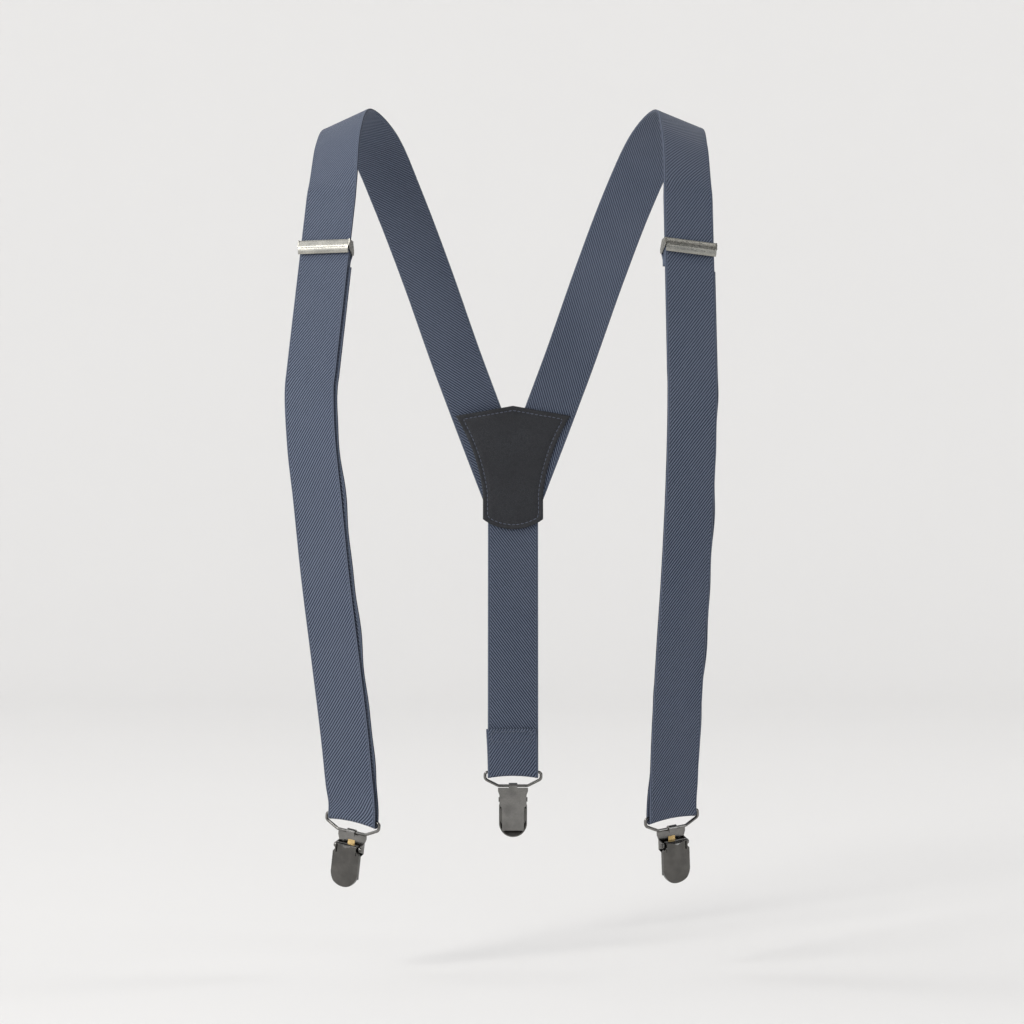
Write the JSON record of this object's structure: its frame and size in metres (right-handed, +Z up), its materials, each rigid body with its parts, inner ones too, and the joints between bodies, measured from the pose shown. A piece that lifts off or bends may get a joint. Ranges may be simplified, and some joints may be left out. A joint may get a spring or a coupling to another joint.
{
  "type": "trouser suspenders",
  "caption": "Elastic Y-back trouser suspenders with slide adjusters, a leatherette yoke patch and lever clips on swivelling wire loops",
  "frame": {"origin": "midway between the two shoulders, at the undersides of the straps where they rest on them", "axes": "+Z up, -Y the way the wearer faces, +X the wearer's left"},
  "size_m": [0.2793, 0.2564, 0.5108],
  "materials": {
    "webbing": "woven elastic, slate blue twill",
    "patch": "smooth dark leatherette",
    "nickel": "nickel plated steel",
    "gunmetal": "black nickel plated steel",
    "pad": "moulded clear plastic",
    "spring": "phosphor bronze strip"
  },
  "bodies": {
    "webbing": {"left_strap": "webbing", "left_return_end": "webbing", "right_strap": "webbing", "right_return_end": "webbing", "back_strap": "webbing", "yoke_patch_outer": "patch", "yoke_patch_inner": "patch"},
    "left_adjuster": {"left_adjuster_frame": "nickel", "left_adjuster_pin": "nickel", "left_tail_loop": "webbing"},
    "left_adjuster_flap": {"left_adjuster_lever": "nickel"},
    "right_adjuster": {"right_adjuster_frame": "nickel", "right_adjuster_pin": "nickel", "right_tail_loop": "webbing"},
    "right_adjuster_flap": {"right_adjuster_lever": "nickel"},
    "left_loop": {"left_wire_loop": "gunmetal"},
    "left_clip": {"left_clip_base": "gunmetal", "left_clip_pin": "gunmetal", "left_base_pad": "pad", "left_clip_spring": "spring"},
    "left_lever": {"left_clip_lever": "gunmetal"},
    "left_jaw": {"left_clip_jaw": "gunmetal", "left_jaw_pad": "pad"},
    "right_loop": {"right_wire_loop": "gunmetal"},
    "right_clip": {"right_clip_base": "gunmetal", "right_clip_pin": "gunmetal", "right_base_pad": "pad", "right_clip_spring": "spring"},
    "right_lever": {"right_clip_lever": "gunmetal"},
    "right_jaw": {"right_clip_jaw": "gunmetal", "right_jaw_pad": "pad"},
    "back_loop": {"back_wire_loop": "gunmetal"},
    "back_clip": {"back_clip_base": "gunmetal", "back_clip_pin": "gunmetal", "back_base_pad": "pad", "back_clip_spring": "spring"},
    "back_lever": {"back_clip_lever": "gunmetal"},
    "back_jaw": {"back_clip_jaw": "gunmetal", "back_jaw_pad": "pad"}
  },
  "joints": [
    {"name": "left_adjuster_slide", "type": "slide", "parent": "webbing", "child": "left_adjuster", "axis": [-0.0953, -0.286, -0.9535], "range_m": [-0.02, 0.05], "deforming": ["left_return_end"]},
    {"name": "left_adjuster_flip", "type": "hinge", "parent": "left_adjuster", "child": "left_adjuster_flap", "pos_m": [-0.12196, -0.08646, -0.08572], "axis": [-0.9302, 0.3668, -0.017], "range_deg": [0, 60]},
    {"name": "right_adjuster_slide", "type": "slide", "parent": "webbing", "child": "right_adjuster", "axis": [0.0096, -0.2873, -0.9578], "range_m": [-0.02, 0.05], "deforming": ["right_return_end"]},
    {"name": "right_adjuster_flip", "type": "hinge", "parent": "right_adjuster", "child": "right_adjuster_flap", "pos_m": [0.11475, -0.0865, -0.08592], "axis": [-0.9274, -0.3608, 0.099], "range_deg": [0, 60]},
    {"name": "left_loop_swing", "type": "hinge", "parent": "webbing", "child": "left_loop", "pos_m": [-0.10337, -0.09129, -0.45735], "axis": [-0.8837, 0.4399, 0.1599], "range_deg": [-25, 35]},
    {"name": "left_clip_swing", "type": "hinge", "parent": "left_loop", "child": "left_clip", "pos_m": [-0.1044, -0.09, -0.4666], "axis": [-0.8837, 0.4399, 0.1599], "range_deg": [-50, 50]},
    {"name": "left_clip_snap", "type": "hinge", "parent": "left_clip", "child": "left_lever", "pos_m": [-0.10666, -0.09096, -0.47644], "axis": [-0.8837, 0.4399, 0.1599], "range_deg": [0, 100]},
    {"name": "left_jaw_open", "type": "hinge", "parent": "left_clip", "child": "left_jaw", "pos_m": [-0.10666, -0.09096, -0.47644], "axis": [-0.8837, 0.4399, 0.1599], "range_deg": [0, 14]},
    {"name": "right_loop_swing", "type": "hinge", "parent": "webbing", "child": "right_loop", "pos_m": [0.10241, -0.09185, -0.45499], "axis": [-0.8838, -0.4499, -0.128], "range_deg": [-25, 35]},
    {"name": "right_clip_swing", "type": "hinge", "parent": "right_loop", "child": "right_clip", "pos_m": [0.1028, -0.09, -0.4642], "axis": [-0.8838, -0.4499, -0.128], "range_deg": [-50, 50]},
    {"name": "right_clip_snap", "type": "hinge", "parent": "right_clip", "child": "right_lever", "pos_m": [0.10442, -0.09033, -0.4742], "axis": [-0.8838, -0.4499, -0.128], "range_deg": [0, 100]},
    {"name": "right_jaw_open", "type": "hinge", "parent": "right_clip", "child": "right_jaw", "pos_m": [0.10442, -0.09033, -0.4742], "axis": [-0.8838, -0.4499, -0.128], "range_deg": [0, 14]},
    {"name": "back_loop_swing", "type": "hinge", "parent": "webbing", "child": "back_loop", "pos_m": [0, 0.09181, -0.4426], "axis": [1, 0, 0], "range_deg": [-25, 35]},
    {"name": "back_clip_swing", "type": "hinge", "parent": "back_loop", "child": "back_clip", "pos_m": [0, 0.092, -0.452], "axis": [1, 0, 0], "range_deg": [-50, 50]},
    {"name": "back_clip_snap", "type": "hinge", "parent": "back_clip", "child": "back_lever", "pos_m": [0, 0.0948, -0.46175], "axis": [1, 0, 0], "range_deg": [0, 100]},
    {"name": "back_jaw_open", "type": "hinge", "parent": "back_clip", "child": "back_jaw", "pos_m": [0, 0.0948, -0.46175], "axis": [1, 0, 0], "range_deg": [0, 14]}
  ],
  "couplings": [
    {"joint": "left_jaw_open", "follows": "left_clip_snap", "ratio": 0.12},
    {"joint": "right_jaw_open", "follows": "right_clip_snap", "ratio": 0.12},
    {"joint": "back_jaw_open", "follows": "back_clip_snap", "ratio": 0.12}
  ]
}
